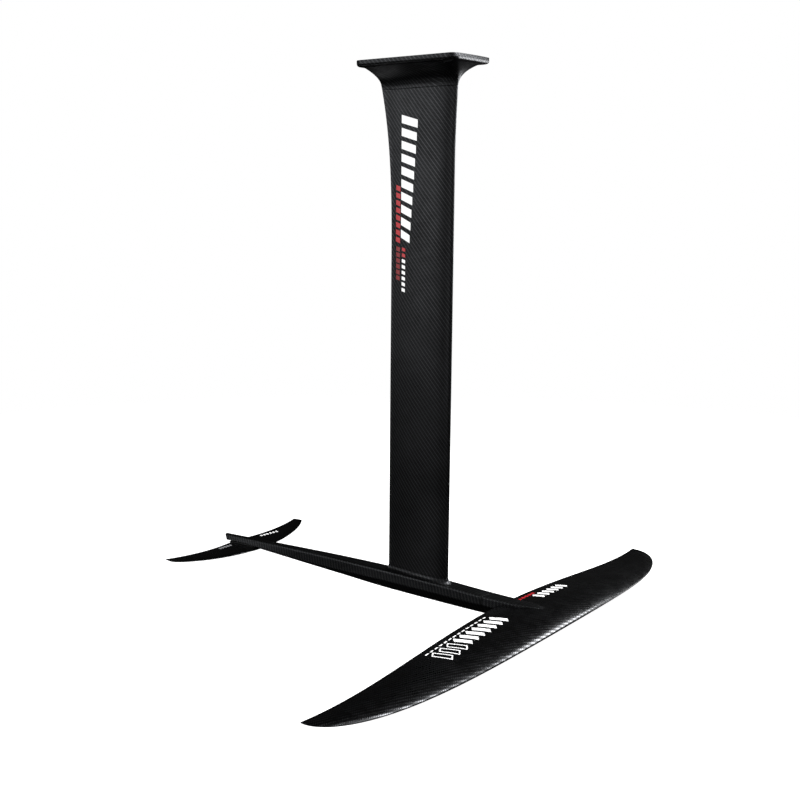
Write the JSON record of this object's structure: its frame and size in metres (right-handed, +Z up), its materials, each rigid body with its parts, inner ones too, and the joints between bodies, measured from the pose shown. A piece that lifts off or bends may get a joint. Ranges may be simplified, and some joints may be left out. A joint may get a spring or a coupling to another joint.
{
  "type": "hydrofoil with mast and wings",
  "caption": "Carbon board foil: a top plate on a tall foil-section mast, a slim fuselage at its foot, a wide curved front wing and a small swept stabiliser.",
  "frame": {"origin": "centre of the top plate's upper face, where the foil bolts to a board", "axes": "+X forward in use, +Y to port, +Z up along the mast towards the board"},
  "size_m": [0.7378, 1.024, 0.8967],
  "materials": {
    "carbon_twill": "satin clear-coated carbon twill",
    "carbon_gloss": "gloss clear-coated carbon twill",
    "carbon_raw": "sanded bare carbon laminate",
    "foam": "closed-cell foam",
    "stainless": "stainless steel",
    "brass": "turned brass",
    "nylon": "moulded nylon"
  },
  "bodies": {
    "root": {"mast_head": "carbon_twill", "mast_head_spigot": "carbon_raw", "mast_skin": "carbon_twill", "mast_web_front": "carbon_raw", "mast_web_rear": "carbon_raw", "mast_core_front": "foam", "mast_core_middle": "foam", "mast_core_rear": "foam", "mast_foot_tenon": "carbon_raw", "mast_foot_fairing": "carbon_twill", "fuselage_shell": "carbon_twill", "fuselage_core": "foam", "wing_spigot": "carbon_raw", "front_wing_upper_skin": "carbon_gloss", "front_wing_lower_skin": "carbon_gloss", "front_wing_core_port": "foam", "front_wing_core_starboard": "foam", "front_wing_centre": "carbon_gloss", "stabiliser": "carbon_gloss", "stabiliser_shim": "nylon", "wing_insert_rear": "brass", "wing_screw_rear": "stainless", "wing_insert_front": "brass", "wing_screw_front": "stainless", "stabiliser_insert_rear": "brass", "stabiliser_screw_rear": "stainless", "stabiliser_insert_front": "brass", "stabiliser_screw_front": "stainless"}
  },
  "joints": []
}
